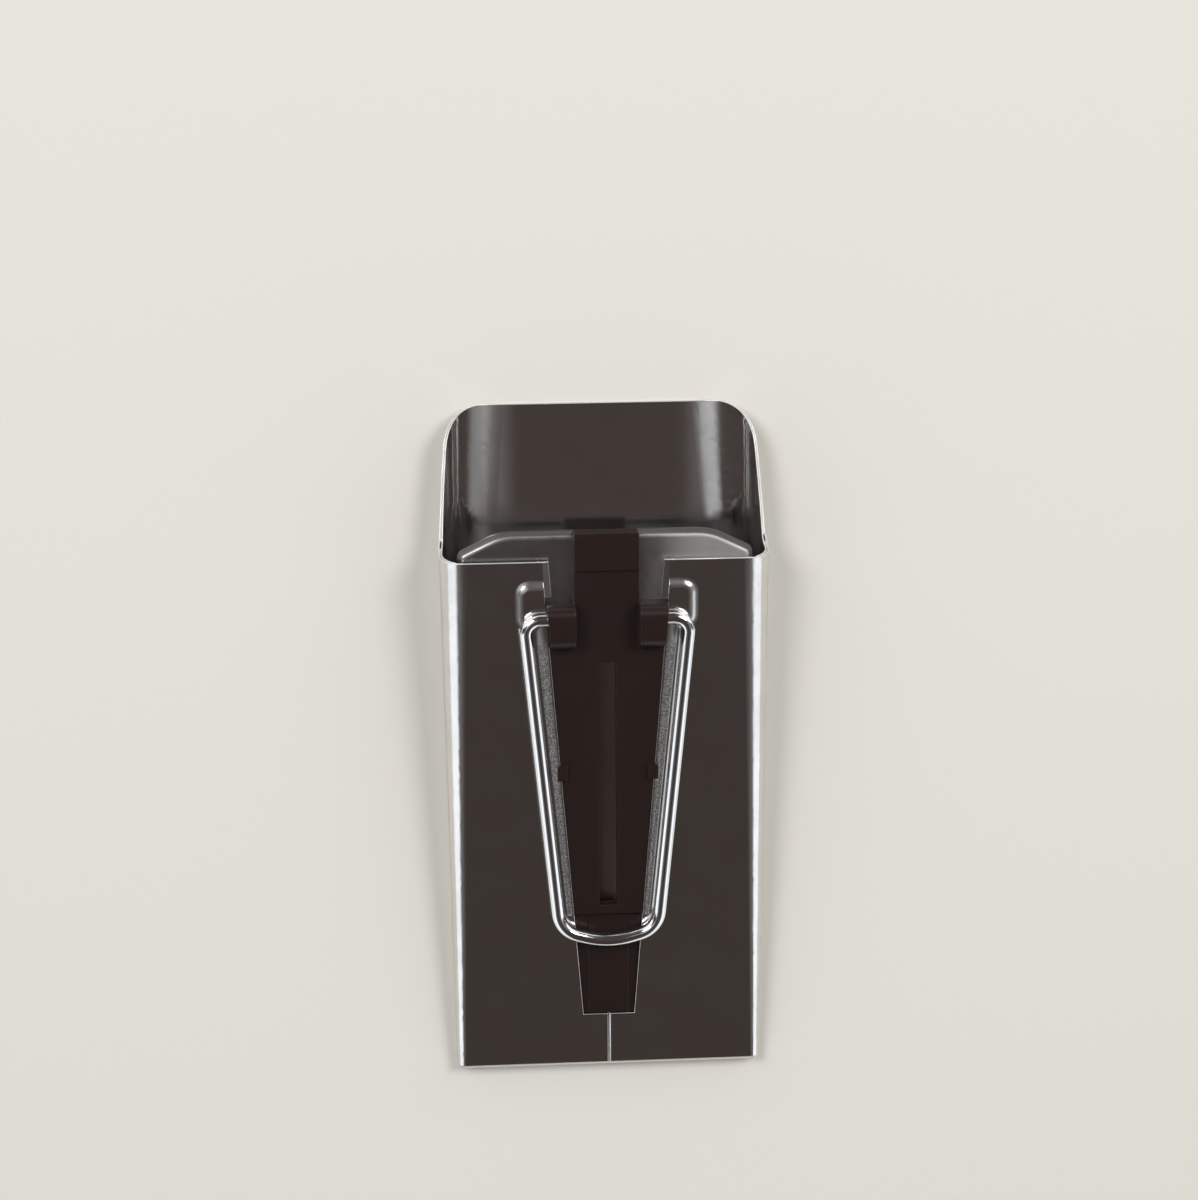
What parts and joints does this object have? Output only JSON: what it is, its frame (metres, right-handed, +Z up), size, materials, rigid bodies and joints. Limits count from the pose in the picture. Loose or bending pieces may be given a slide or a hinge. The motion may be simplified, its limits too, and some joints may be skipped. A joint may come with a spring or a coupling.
{
  "type": "bias tape maker",
  "caption": "Folded metal bias tape maker: a wedge body with a scooped lip, a guide plate held by a black centre moulding and a folding wire handle.",
  "frame": {"origin": "centre of the tool's bounding box, on the flat face that it stands on", "axes": "+X across the tape, +Y from the flat exit to the lip that the cloth enters over, +Z up"},
  "size_m": [0.0548, 0.1138, 0.0171],
  "materials": {
    "plated_sheet": "bright nickel plated steel sheet",
    "guide_sheet": "satin plated steel sheet",
    "black_moulding": "satin black moulded plastic",
    "bright_wire": "bright plated steel wire"
  },
  "bodies": {
    "tool": {"outer_body": "plated_sheet", "inner_guide": "guide_sheet", "centre_holder": "black_moulding"},
    "handle": {"wire_handle": "bright_wire"}
  },
  "joints": [
    {"name": "handle_swing", "type": "hinge", "parent": "tool", "child": "handle", "pos_m": [0, 0.02184, 0.015], "axis": [-1, 0, 0], "range_deg": [0, 181]}
  ]
}
